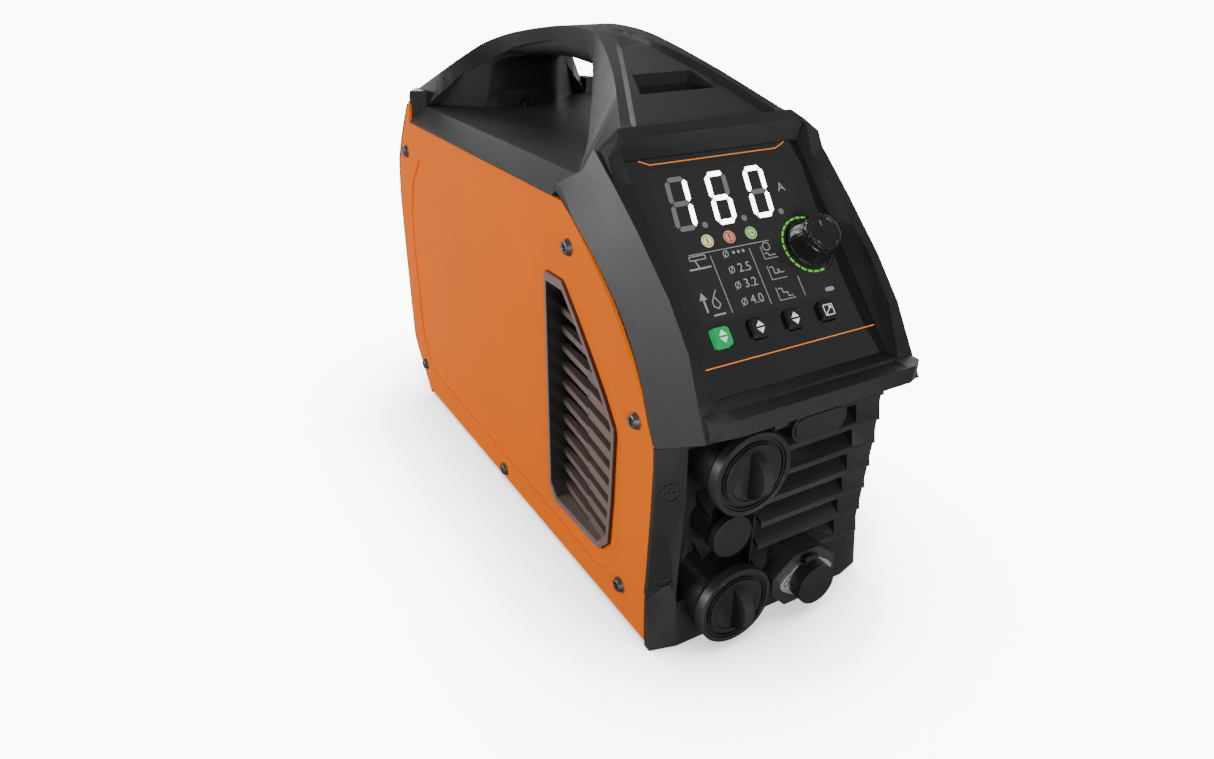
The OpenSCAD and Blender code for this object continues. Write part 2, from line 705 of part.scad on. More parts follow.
module encoder_body() {
    color("#9fa3a6") in_case() on_glass() translate([knob_x, knob_s, -7.9]) difference() {
        union() {
            translate([-6, -6, 0]) cube([12, 12, 3.4]);
            cylinder(h = 6.6, r = 3.8);
        }
        translate([0, 0, 0.6]) cylinder(h = 10, r = 3.05);
    }
}

module key_switches() {
    color("#303134") in_case() on_glass() {
        for (x = button_xs) {
            translate([x - 3, button_s - 3, -7.9]) cube([6, 6, 2.4]);
            translate([x, button_s, -5.6]) cylinder(h = 0.6, r = 1.7);
        }
    }
}

module button_cap(i) {
    translate([button_xs[i], button_s, 0]) {
        translate([0, 0, -2.3]) soft_box(button_size, button_size, 4.2, 2);
        translate([0, 0, 1.8]) soft_box(button_size - 1, button_size - 1, 0.8, 1.6);
        translate([0, 0, -3.1]) soft_box(button_size + 1.8, button_size + 1.8, 1, 2.4);
        translate([0, 0, -3.9]) cylinder(h = 1.4, r = 1.5);
    }
}

module mode_button() {
    color("#1fd070") in_case() on_glass() button_cap(0);
}

module up_button() {
    color("#38393b") in_case() on_glass() button_cap(1);
}

module down_button() {
    color("#38393b") in_case() on_glass() button_cap(2);
}

module save_button() {
    color("#38393b") in_case() on_glass() button_cap(3);
}

module encoder_knob() {
    color("#1c1c1d") in_case() on_glass() translate([knob_x, knob_s, 0]) {
        difference() {
            rotate_extrude() polygon([[0, 1], [11.3, 1], [11.6, 1.4], [11.6, 4.6], [10.9, 5.4],
                [10.4, 6], [10.1, 11.6], [9.6, 12.6], [8.4, 13], [8.1, 12.5], [0, 12.5]]);
            for (i = [0:8]) {
                rotate([0, 0, i * 40]) translate([13.4, 0, 5.2]) cylinder(h = 9, r = 4.3);
            }
        }
        translate([0, 0, -6.6]) cylinder(h = 8, r = 3);
    }
}

// ---------------------------------------------------------------- welding sockets

module socket_cover(y) {
    // turning cover with stepped rings, a finger fin and a pin that enters the brass socket
    difference() {
        union() {
            y_rod(0, 0, socket_ring_r - 2.7, y + 0.5, y + 4.4);
            y_rod(0, 0, 14.8, y - 0.4, y + 2);
        }
        difference() {
            y_rod(0, 0, 16.8, y - 1, y + 1.6);
            y_rod(0, 0, 15.6, y - 2, y + 2);
        }
        difference() {
            y_rod(0, 0, 12.6, y - 1, y + 0.3);
            y_rod(0, 0, 12, y - 2, y + 2);
            box(-20, 20, y - 3, y + 3, -4.5, 20);
        }
    }
    intersection() {
        y_rod(0, 0, 11.5, y - 12, y + 1);
        side_slab(-2.6, 2.6) polygon([[y, -11], [y - 4.5, -9.4], [y - 8.6, -5.6], [y - 10.4, 0.4],
            [y - 9.4, 5.6], [y - 6, 9.4], [y, 11.4]]);
    }
    y_rod(0, 0, 6.42, y + 4, y + 22);
    box(-1.5, 1.5, y + 17, y + 22, 0, 7.6);
}

module upper_socket_cover() {
    color("#1a1a1b") in_case() translate([socket_x, 0, upper_z]) socket_cover(upper_y);
}

module lower_socket_cover() {
    color("#1a1a1b") in_case() translate([socket_x, 0, lower_z]) socket_cover(lower_y);
}

module brass_socket(y) {
    difference() {
        union() {
            y_rod(0, 0, 10.6, y + 6.4, y + 46);
            y_rod(0, 0, 6, y + 46, y + 58);
        }
        y_rod(0, 0, 6.5, y + 5, y + 40);
        box(-2, 2, y + 5, y + 24, 0, 8.4);
        y_rod(0, 0, 8.6, y + 16, y + 24);
    }
}

module socket_bodies() {
    color("#c69b3f") in_case() {
        translate([socket_x, 0, upper_z]) brass_socket(upper_y);
        translate([socket_x, 0, lower_z]) brass_socket(lower_y);
    }
}

module insulator(y) {
    difference() {
        union() {
            y_rod(0, 0, 15.3, y + 6.2, 12);
            y_rod(0, 0, 18.5, 9.4, 12);
        }
        y_rod(0, 0, 10.8, y + 5, 20);
    }
    difference() {
        y_rod(0, 0, 16, 12.3, 15);
        y_rod(0, 0, 10.8, 8, 20);
    }
}

module socket_insulators() {
    color("#2c2c2e") in_case() {
        translate([socket_x, 0, upper_z]) insulator(upper_y);
        translate([socket_x, 0, lower_z]) insulator(lower_y);
    }
}

module blank_plug() {
    color("#1d1d1e") in_case() translate([socket_x, 0, plug_z]) {
        y_rod(0, 0, 10.8, plug_y - 3.6, plug_y + 0.8);
        y_rod(0, 0, 7.1, plug_y, 9);
        y_rod(0, 0, 7.6, 9.6, 12);
        y_rod(0, 0, 6, 8, 11);
    }
}

module link_socket() {
    color("#c9ccd0") in_case() translate([link_x, 0, link_z]) difference() {
        union() {
            front_slab(link_y - 2.1, link_y - 0.1) polygon([[-16.6, -1.5], [-16.6, 1.5],
                [-14.5, 3.9], [-7, 9.2], [7, 9.2], [14.5, 3.9], [16.6, 1.5], [16.6, -1.5],
                [14.5, -3.9], [7, -9.2], [-7, -9.2], [-14.5, -3.9]]);
            y_rod(0, 0, 8.4, link_y - 6.5, link_y - 0.1);
            y_rod(0, 0, 8, link_y - 0.2, 8);
        }
        y_rod(0, 0, 7, link_y - 8, link_y + 4);
        for (sx = [-12.5, 12.5]) {
            y_rod(sx, 0, 1.7, link_y - 4, link_y + 2);
        }
    }
}

module link_pins() {
    color("#b58f45") in_case() translate([link_x, 0, link_z]) {
        for (a = [45, 135, 225, 315]) {
            y_rod(3.4 * cos(a), 3.4 * sin(a), 0.7, link_y - 3.5, link_y + 3.98);
        }
        y_rod(0, 0, 0.7, link_y - 3.5, link_y + 3.98);
    }
}

module link_cap() {
    color("#141414") in_case() translate([link_x, 0, link_z]) {
        difference() {
            union() {
                y_rod(0, 0, 11.2, link_y - 9.6, link_y - 2.5);
                // strap up to its pin on the boss
                box(-4, 4, link_y - 4.2, link_y - 2.5, 8, 12.6);
                x_rod(link_y - 3.35, 12.6, 1.6, -4, 4);
            }
            y_rod(0, 0, 9.3, link_y - 7.4, link_y - 1);
        }
    }
}

module link_screws() {
    color("#b9bcc0") in_case() for (sx = [-12.5, 12.5]) {
        y_rod(link_x + sx, link_z, 1.15, link_y - 2, link_y + 8);
    }
}

// ---------------------------------------------------------------- screws

module side_screw() {
    // button head outside, thread inside; the head faces -x
    difference() {
        translate([-2.3, 0, 0]) rotate([0, 90, 0]) cylinder(h = 2.2, r1 = 3, r2 = screw_r);
        translate([-3, 0, 0]) rotate([0, 90, 0]) cylinder(h = 1.9, r = 1.7, $fn = 6);
    }
    translate([-0.2, 0, 0]) rotate([0, 90, 0]) cylinder(h = 10, r = 1.8);
}

module side_panel_screws() {
    color("#26262a") in_case() both_sides() for (p = side_screws) {
        translate([-half_w - 0.1, p[0], p[1]]) side_screw();
    }
}

module deck_screw() {
    color("#26262a") in_case() on_deck_screw() {
        difference() {
            translate([0, 0, -4.9]) cylinder(h = 2.6, r = 3);
            translate([0, 0, -3.8]) cylinder(h = 4, r = 1.6, $fn = 6);
        }
        translate([0, 0, -16]) cylinder(h = 12, r = 1.6);
    }
}

// ---------------------------------------------------------------- fan and rear fittings

module fan_frame() {
    color("#1b1b1d") in_case() difference() {
        union() {
            difference() {
                box(-40, 40, fan_y, fan_y + 25, fan_z - 40, fan_z + 40);
                y_rod(0, fan_z, 38, fan_y - 1, fan_y + 26);
            }
            y_rod(0, fan_z, 15.5, fan_y, fan_y + 3);
            for (a = [45, 135, 225, 315]) {
                translate([0, fan_y, fan_z]) rotate([0, a, 0]) translate([0, 0, -1.5])
                    cube([39, 3, 3]);
            }
            y_rod(0, fan_z, 3.6, fan_y, fan_y + 14);
        }
        y_rod(0, fan_z, 1.55, fan_y + 2, fan_y + 30);
        for (sx = [-35.75, 35.75]) {
            for (sz = [-35.75, 35.75]) {
                y_rod(sx, fan_z + sz, 2.1, fan_y - 1, fan_y + 26);
            }
        }
    }
}

module fan_rotor() {
    color("#222327") in_case() translate([0, fan_y, fan_z]) {
        difference() {
            y_rod(0, 0, 16, 4.5, 22);
            y_rod(0, 0, 14, 3.5, 20);
        }
        y_rod(0, 0, 1.5, 4, 21);
        for (i = [0:6]) {
            rotate([0, i * 360 / 7, 0]) translate([14.8, 13, 0]) rotate([38, 0, 0])
                translate([0, -10.5, -0.9]) cube([20.4, 21, 1.8]);
        }
    }
}

module fan_guard() {
    color("#26272a") in_case() translate([0, 0, fan_z]) {
        for (r = [8, 16, 24, 32, 37.2]) {
            difference() {
                y_rod(0, 0, r + 0.8, 326.8, 328.4);
                y_rod(0, 0, r - 0.8, 326, 330);
            }
        }
        for (a = [0:45:315]) {
            rotate([0, a, 0]) translate([7.4, 326.8, -0.8]) cube([30, 1.6, 1.6]);
        }
        for (a = [45:90:315]) {
            rotate([0, a, 0]) difference() {
                union() {
                    y_rod(50.56, 0, 3.8, 326.8, 328.4);
                    translate([37, 326.8, -1.2]) cube([11, 1.6, 2.4]);
                }
                y_rod(50.56, 0, 1.75, 320, 330);
            }
        }
    }
}

module fan_screws() {
    color("#3a3b3f") in_case() for (sx = [-35.75, 35.75]) {
        for (sz = [-35.75, 35.75]) {
            y_rod(sx, fan_z + sz, 1.65, fan_y + 2, 329);
            y_rod(sx, fan_z + sz, 3.4, 328.5, 330.4);
        }
    }
}

module power_switch_body() {
    color("#18181a") in_case() translate([switch_x, 0, switch_z]) difference() {
        union() {
            box(-10, 10, 300, 325, -14, 14);
            box(-12.2, 12.2, 324, 325.6, -16.2, 16.2);
            for (z = [-8, 0, 8]) {
                box(-2.4, 2.4, 292, 301, z - 0.5, z + 0.5);
            }
        }
        box(-7.6, 7.6, 306, 340, -12.9, 12.9);
        x_rod(316, 0, 1.55, -9.2, 9.2);
    }
}

module power_rocker() {
    color("#b01818") in_case() translate([switch_x, 0, switch_z]) {
        intersection() {
            box(-7.1, 7.1, 310, 340, -11, 11);
            side_slab(-7.1, 7.1) polygon([[313, -8], [322.6, -10.9], [328, -10.7], [324.2, 0],
                [325.8, 10], [321.4, 10.9], [313, 8]]);
        }
        x_rod(316, 0, 1.5, -9, 9);
    }
}

module inlet_gland() {
    color("#202022") in_case() translate([gland_x, 0, gland_z]) difference() {
        union() {
            y_rod(0, 0, 9.9, 303, 328);
            y_rod(0, 0, 9, 327, 332);
            translate([0, 325.2, 0]) rotate([-90, 0, 0]) cylinder(h = 4.4, r = 12.8, $fn = 6);
        }
        y_rod(0, 0, 5.6, 300, 345);
    }
}

module gland_nut() {
    color("#202022") in_case() translate([gland_x, 0, gland_z]) {
        difference() {
            union() {
                translate([0, 330, 0]) rotate([-90, 0, 0]) cylinder(h = 6, r = 12.4, $fn = 6);
                translate([0, 336, 0]) rotate([-90, 0, 0]) cylinder(h = 4, r1 = 10.6, r2 = 8);
            }
            y_rod(0, 0, 9.05, 325, 334);
            y_rod(0, 0, 5.2, 320, 345);
        }
        difference() {
            translate([0, 306, 0]) rotate([-90, 0, 0]) cylinder(h = 4, r = 13.5, $fn = 6);
            y_rod(0, 0, 9.95, 300, 318);
        }
    }
}

module earth_stud() {
    color("#c2a24c") in_case() translate([38, 0, 29.6]) {
        y_rod(0, 0, 2.9, 308, 335);
        difference() {
            translate([0, 327.7, 0]) rotate([-90, 0, 0]) cylinder(h = 3.2, r = 5.4, $fn = 6);
            y_rod(0, 0, 2.9, 320, 340);
        }
        difference() {
            y_rod(0, 0, 6.2, 326.5, 327.6);
            y_rod(0, 0, 2.9, 320, 340);
        }
    }
}

// ---------------------------------------------------------------- power electronics

module main_board() {
    color("#1f6a3a") in_case() difference() {
        box(-56, 56, 44, 284, 12, 13.6);
        for (x = [-50, 50]) {
            for (y = [52, 164, 276]) {
                z_rod(x, y, 1.8, 8, 16);
            }
        }
    }
}

module board_posts() {
    color("#c9b25a") in_case() for (x = [-50, 50]) {
        for (y = [52, 164, 276]) {
            translate([x, y, 1.9]) cylinder(h = 10, r = 3.2, $fn = 6);
            z_rod(x, y, 1.6, 11, 15);
            z_rod(x, y, 3, 13.7, 15.6);
        }
    }
}

module fin_block(x0, x1, y0, y1, z0, z1, fins) {
    pitch = (z1 - z0 - 2) / (fins - 1);
    box(x0, x0 + 6, y0, y1, z0, z1);
    for (i = [0:fins - 1]) {
        box(x0 + 5, x1, y0, y1, z0 + i * pitch, z0 + i * pitch + 2);
    }
}

module switch_heatsink() {
    color("#b4b8bc") in_case() fin_block(8, 52, 150, 280, 46, 124, 10);
}

module rectifier_heatsink() {
    color("#b4b8bc") in_case() mirror([1, 0, 0]) fin_block(8, 52, 130, 280, 46, 124, 10);
}

module package(x0, y, z0, dir) {
    // flat power package with three legs down to the board
    box(min(x0, x0 + dir * 5), max(x0, x0 + dir * 5), y - 8, y + 8, z0, z0 + 21);
    for (l = [-5.4, 0, 5.4]) {
        box(min(x0 + dir * 2, x0 + dir * 2.8), max(x0 + dir * 2, x0 + dir * 2.8), y + l - 0.6,
            y + l + 0.6, 13.7, z0 + 1);
    }
}

module switch_transistors() {
    color("#191a1c") in_case() for (i = [0:5]) {
        package(7.8, 162 + i * 21, 48, -1);
    }
}

module output_rectifiers() {
    color("#191a1c") in_case() for (i = [0:5]) {
        package(-7.8, 142 + i * 21, 48, 1);
    }
}

module transformer_core() {
    color("#3b3a3c") in_case() difference() {
        box(-2, 50, 66, 116, 16, 60);
        box(-3, 51, 76, 84, 24, 52);
        box(-3, 51, 98, 106, 24, 52);
    }
}

module transformer_windings() {
    color("#c8912f") in_case() difference() {
        union() {
            box(2, 46, 76.4, 105.6, 24.6, 51.4);
            for (i = [0:6]) {
                translate([5 + i * 6.2, 91, 38]) rotate([0, 90, 0]) cylinder(h = 4.4, r = 15.2);
            }
        }
        box(-3, 51, 83.6, 98.4, 23, 53);
        box(-3, 51, 70, 76.1, 10, 70);
        box(-3, 51, 105.9, 112, 10, 70);
        box(-3, 51, 70, 112, 10, 24.2);
        box(-3, 51, 70, 112, 51.8, 60);
    }
}

module ring_core(r, w, t) {
    rotate([90, 0, 0]) rotate_extrude() translate([r - w / 2, -t / 2]) square([w, t]);
}

module output_choke_core() {
    color("#5a5d60") in_case() translate([-34, 88, 132]) rotate([0, 0, 90]) ring_core(17, 9, 14);
}

module coil(r, w, t, turns) {
    rotate([90, 0, 0]) for (i = [0:turns - 1]) {
        rotate([0, 0, i * 360 / turns]) translate([r, 0, 0]) difference() {
            translate([-w / 2 - 2.2, -1.6, -t / 2 - 2.2]) cube([w + 4.4, 3.2, t + 4.4]);
            translate([-w / 2 - 0.1, -2, -t / 2 - 0.1]) cube([w + 0.2, 4, t + 0.2]);
        }
    }
}

module output_choke_winding() {
    color("#b5651d") in_case() translate([-34, 88, 132]) rotate([0, 0, 90]) coil(17, 9, 14, 16);
}

module boost_choke_core() {
    color("#4c5a45") in_case() translate([-30, 96, 34]) rotate([0, 0, 90]) ring_core(14, 8, 13);
}

module boost_choke_winding() {
    color("#b5651d") in_case() translate([-30, 96, 34]) rotate([0, 0, 90]) coil(14, 8, 13, 14);
}

module bus_capacitors() {
    color("#23324a") in_case() for (x = [16.5, 41]) {
        z_rod(x, 137.5, 11, 14, 44);
        z_rod(x, 137.5, 10.2, 43, 45);
    }
}

module input_bridge() {
    color("#151618") in_case() difference() {
        box(-46, -18, 142, 170, 15, 25);
        z_rod(-32, 156, 2.4, 10, 30);
    }
}

module filter_parts() {
    color("#c7b83a") in_case() {
        box(-50, -32, 200, 226, 14, 32);
        box(-50, -32, 232, 258, 14, 30);
    }
    color("#3c4044") in_case() {
        box(30, 48, 196, 222, 14, 36);
        z_rod(39, 240, 9, 14, 38);
    }
}

module output_busbars() {
    color("#c47a3a") in_case() {
        box(socket_x - 7, socket_x + 7, 33.2, 35.6, 88, 140);
        difference() {
            box(socket_x - 7, socket_x + 7, 36.4, 38.8, 12.8, 30);
            y_rod(socket_x, lower_z, 6.2, 30, 42);
        }
    }
}

module inner_bracket() {
    color("#8d9093") in_case() difference() {
        union() {
            box(-56, 56, 122, 123.6, 16, 126);
            box(-56, 56, 122, 286, 126, 127.6);
        }
        box(-2, 52, 121, 125, 14, 66);
        box(-52, -8, 121, 125, 14, 62);
        for (x = [-40, 0, 40]) {
            y_rod(x, 100, 9, 120, 126);
        }
        box(-50, 50, 150, 270, 124, 129);
    }
}

left_side_panel();
right_side_panel();
left_vent();
right_vent();
control_hood();
front_grille();
top_cover();
rear_panel();
base_tray();
feet();
display_glass();
display_screen();
light_ring();
control_board();
encoder_body();
key_switches();
encoder_knob();
mode_button();
up_button();
down_button();
save_button();
upper_socket_cover();
lower_socket_cover();
socket_bodies();
socket_insulators();
blank_plug();
link_socket();
link_pins();
link_cap();
link_screws();
side_panel_screws();
deck_screw();
fan_frame();
fan_rotor();
fan_guard();
fan_screws();
power_switch_body();
power_rocker();
inlet_gland();
gland_nut();
earth_stud();
main_board();
switch_heatsink();
rectifier_heatsink();
switch_transistors();
output_rectifiers();
transformer_core();
transformer_windings();
output_choke_core();
output_choke_winding();
boost_choke_core();
boost_choke_winding();
bus_capacitors();
input_bridge();
filter_parts();
output_busbars();
board_posts();
inner_bracket();
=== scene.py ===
import json
import math

import bmesh
import bpy
from mathutils import Matrix, Vector


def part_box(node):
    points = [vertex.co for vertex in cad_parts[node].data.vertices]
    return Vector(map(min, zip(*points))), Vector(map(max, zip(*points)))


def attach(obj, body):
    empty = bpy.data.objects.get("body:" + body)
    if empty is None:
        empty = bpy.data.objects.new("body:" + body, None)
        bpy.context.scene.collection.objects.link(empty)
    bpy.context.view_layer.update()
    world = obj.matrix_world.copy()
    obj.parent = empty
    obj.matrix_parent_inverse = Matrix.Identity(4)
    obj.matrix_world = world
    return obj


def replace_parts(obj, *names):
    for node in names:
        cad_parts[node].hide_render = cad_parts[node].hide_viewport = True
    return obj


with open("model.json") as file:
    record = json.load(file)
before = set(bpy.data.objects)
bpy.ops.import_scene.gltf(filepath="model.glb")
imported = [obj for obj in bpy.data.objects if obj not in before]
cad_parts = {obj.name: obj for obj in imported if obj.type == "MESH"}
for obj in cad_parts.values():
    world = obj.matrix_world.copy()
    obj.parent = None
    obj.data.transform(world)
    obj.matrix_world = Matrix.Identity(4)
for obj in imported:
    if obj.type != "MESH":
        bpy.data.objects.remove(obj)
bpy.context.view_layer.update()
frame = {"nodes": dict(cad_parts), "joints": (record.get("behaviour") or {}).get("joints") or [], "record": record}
MM = 0.001


# ---------------------------------------------------------------- places taken from the frame

joints = {j["name"]: j for j in frame["joints"]}
glass_low, glass_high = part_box("display_glass")
normal = Vector(joints["encoder_turn"]["axis"]).normalized()
tilt = math.atan2(-normal.y, normal.z)
glass_half = (glass_high.x - glass_low.x) / 2
glass_origin = Vector((0, glass_low.y, glass_low.z + 2 * MM * math.cos(tilt)))
GLASS = Matrix.Translation(glass_origin) @ Matrix.Rotation(tilt, 4, "X")
glass_length = (glass_high.z - glass_low.z - 2 * MM * math.cos(tilt)) / math.sin(tilt)


def on_glass(point):
    """(x, s) of a point in the glass plane, in mm."""
    local = GLASS.inverted() @ Vector(point)
    return local.x / MM, local.y / MM


knob_x, knob_s = on_glass(joints["encoder_turn"]["pos_m"])
button_joints = {"mode_button": "mode_press", "up_button": "up_press",
                 "down_button": "down_press", "save_button": "save_press"}


# ---------------------------------------------------------------- node helpers

class Nodes:
    """A material's node tree with short calls for the nodes used here."""

    def __init__(self, name):
        self.material = bpy.data.materials.new(name)
        self.material.use_nodes = True
        self.tree = self.material.node_tree
        self.tree.nodes.clear()
        self.out = self.add("ShaderNodeOutputMaterial")
        self.shader = self.add("ShaderNodeBsdfPrincipled")
        self.tree.links.new(self.shader.outputs[0], self.out.inputs["Surface"])
        self.coords = self.add("ShaderNodeTexCoord").outputs["Object"]

    def add(self, kind, **settings):
        node = self.tree.nodes.new(kind)
        for key, value in settings.items():
            setattr(node, key, value)
        return node

    def set(self, node, **values):
        for key, value in values.items():
            socket = node.inputs[key.replace("_", " ")]
            if isinstance(value, bpy.types.NodeSocket):
                self.tree.links.new(value, socket)
            else:
                socket.default_value = value
        return node

    def principled(self, **values):
        self.set(self.shader, **values)

    def noise(self, scale, detail=3.0, roughness=0.55, stretch=None):
        vector = self.coords
        if stretch:
            mapping = self.add("ShaderNodeMapping")
            mapping.inputs["Scale"].default_value = stretch
            self.tree.links.new(self.coords, mapping.inputs["Vector"])
            vector = mapping.outputs[0]
        node = self.set(self.add("ShaderNodeTexNoise"), Scale=scale, Detail=detail, Roughness=roughness)
        self.tree.links.new(vector, node.inputs["Vector"])
        return node.outputs["Fac"]

    def ramp(self, fac, stops):
        node = self.add("ShaderNodeValToRGB")
        band = node.color_ramp
        while len(band.elements) < len(stops):
            band.elements.new(0.5)
        for element, (place, value) in zip(band.elements, stops):
            element.position = place
            element.color = value if len(value) == 4 else (*value, 1)
        self.tree.links.new(fac, node.inputs["Fac"])
        return node.outputs["Color"]

    def span(self, fac, low, high, start=0.0, end=1.0):
        node = self.add("ShaderNodeMapRange")
        node.inputs["From Min"].default_value = start
        node.inputs["From Max"].default_value = end
        node.inputs["To Min"].default_value = low
        node.inputs["To Max"].default_value = high
        self.tree.links.new(fac, node.inputs["Value"])
        return node.outputs["Result"]

    def bump(self, height, strength, distance, under=None):
        node = self.add("ShaderNodeBump")
        node.inputs["Strength"].default_value = strength
        node.inputs["Distance"].default_value = distance
        self.tree.links.new(height, node.inputs["Height"])
        if under:
            self.tree.links.new(under, node.inputs["Normal"])
        return node.outputs["Normal"]

    def blend(self, fac, one, two):
        node = self.add("ShaderNodeMix", data_type="RGBA")
        self.tree.links.new(fac, node.inputs[0])
        for socket, value in ((node.inputs[6], one), (node.inputs[7], two)):
            if isinstance(value, bpy.types.NodeSocket):
                self.tree.links.new(value, socket)
            else:
                socket.default_value = (*value, 1)
        return node.outputs[2]

    def edges(self, low=0.52, high=0.6):
        """A mask on the outer edges, where the plastic is painted lighter as a highlight."""
        geometry = self.add("ShaderNodeNewGeometry")
        return self.span(geometry.outputs["Pointiness"], 0.0, 1.0, low, high)


def plastic(name, colour, rough, grain=900.0, depth=0.35, gloss=0.5, coat=0.0):
    n = Nodes(name)
    fine = n.noise(grain, 2.0)
    cloud = n.noise(26.0, 4.0, 0.6)
    lighter = tuple(min(1.0, c * 1.35 + 0.002) for c in colour)
    tone = n.blend(n.span(cloud, 0.0, 1.0, 0.35, 0.7), colour, lighter)
    # the outer edges are painted lighter: a painted highlight on the edges
    edge_highlight = n.blend(n.edges(0.515, 0.60), tone, tuple(min(1.0, c * 2.1 + 0.006) for c in colour))
    n.principled(Base_Color=edge_highlight, Roughness=n.span(cloud, rough - 0.05, rough + 0.08, 0.3, 0.7),
                 Specular_IOR_Level=gloss, Coat_Weight=coat, Coat_Roughness=0.2,
                 Normal=n.bump(fine, depth, 0.00008))
    return n.material


def slatted(name, colour, wall):
    """Plastic that is lighter on the slats than on the walls of the recess round them: faces that do not face
    forward or back get the lighter colour, a painted reflection.
    """
    n = Nodes(name)
    fine = n.noise(1200.0, 2.0)
    cloud = n.noise(30.0, 4.0, 0.6)
    facing = n.add("ShaderNodeSeparateXYZ")
    n.tree.links.new(n.add("ShaderNodeNewGeometry").outputs["Normal"], facing.inputs[0])
    along = n.add("ShaderNodeMath", operation="ABSOLUTE")
    n.tree.links.new(facing.outputs["Y"], along.inputs[0])
    # faces turned up, down or sideways get the painted reflection colour, faces turned forward or back the dark
    # wall colour
    tone = n.blend(n.span(along.outputs[0], 0.0, 1.0, 0.45, 0.75), colour, wall)
    n.principled(Base_Color=tone, Roughness=n.span(cloud, 0.26, 0.36, 0.3, 0.7), Coat_Weight=0.25,
                 Specular_IOR_Level=0.85, Normal=n.bump(fine, 0.2, 0.00008))
    return n.material


def paint(name, colour):
    n = Nodes(name)
    peel = n.noise(520.0, 2.0)
    fine = n.noise(2600.0, 1.0)
    cloud = n.noise(9.0, 4.0, 0.6)
    deeper = tuple(c * 0.93 for c in colour)
    tone = n.blend(n.span(cloud, 0.0, 1.0, 0.35, 0.7), deeper, colour)
    specks = n.blend(n.span(n.noise(1500.0, 1.0), 0.0, 0.35, 0.62, 0.8), tone,
                     tuple(min(1.0, c * 1.1 + 0.01) for c in colour))
    low = n.bump(peel, 0.22, 0.00012)
    n.principled(Base_Color=specks, Roughness=n.span(cloud, 0.40, 0.50, 0.3, 0.7),
                 Specular_IOR_Level=0.07,
                 Normal=n.bump(fine, 0.16, 0.00005, low))
    return n.material


def metal(name, colour, rough, stretch=(1.0, 1.0, 1.0), scratch=0.2):
    n = Nodes(name)
    lines = n.noise(700.0, 3.0, 0.6, stretch)
    cloud = n.noise(40.0, 4.0, 0.6)
    darker = tuple(c * 0.72 for c in colour)
    tone = n.blend(n.span(cloud, 0.0, 1.0, 0.3, 0.7), darker, colour)
    n.principled(Base_Color=tone, Metallic=1.0,
                 Roughness=n.span(lines, rough - 0.08, rough + 0.1, 0.3, 0.7),
                 Normal=n.bump(lines, scratch, 0.00006))
    return n.material


def lamp(name, colour, strength, base=(0.02, 0.02, 0.02)):
    n = Nodes(name)
    cell = n.noise(700.0, 1.0)
    glow = n.blend(n.span(cell, 0.0, 1.0, 0.3, 0.7), tuple(c * 0.9 for c in colour), colour)
    n.principled(Base_Color=(*base, 1), Roughness=n.span(cell, 0.22, 0.34, 0.3, 0.7),
                 Emission_Color=glow, Emission_Strength=strength)
    return n.material


def printed(name, colour, rough=0.35, strength=0.0):
    n = Nodes(name)
    cell = n.noise(1300.0, 2.0)
    tone = n.blend(n.span(cell, 0.0, 1.0, 0.3, 0.7), tuple(c * 0.88 for c in colour), colour)
    # a strength above nought makes the print glow evenly: painted light, the print is no lamp
    n.principled(Base_Color=tone, Roughness=n.span(cell, rough - 0.05, rough + 0.05, 0.3, 0.7),
                 Emission_Color=tone, Emission_Strength=strength)
    return n.material


def dark_glass(name):
    n = Nodes(name)
    smear = n.noise(18.0, 5.0, 0.65)
    fine = n.noise(240.0, 3.0)
    n.principled(Base_Color=n.blend(smear, (0.010, 0.010, 0.011), (0.016, 0.016, 0.017)),
                 Roughness=n.span(smear, 0.05, 0.12, 0.35, 0.7), Specular_IOR_Level=0.62,
                 Coat_Weight=0.6, Coat_Roughness=0.04, Normal=n.bump(fine, 0.02, 0.00002))
    return n.material


def circuit(name):
    n = Nodes(name)
    tracks = n.add("ShaderNodeTexBrick", offset=0.5)
    n.tree.links.new(n.coords, tracks.inputs["Vector"])
    tracks.inputs["Scale"].default_value = 190.0
    tracks.inputs["Color1"].default_value = (0.010, 0.085, 0.030, 1)
    tracks.inputs["Color2"].default_value = (0.014, 0.11, 0.042, 1)
    tracks.inputs["Mortar"].default_value = (0.03, 0.17, 0.07, 1)
    tracks.inputs["Mortar Size"].default_value = 0.03
    n.principled(Base_Color=tracks.outputs["Color"], Roughness=0.34, Coat_Weight=0.3,
                 Normal=n.bump(tracks.outputs["Fac"], 0.3, 0.00005))
    return n.material


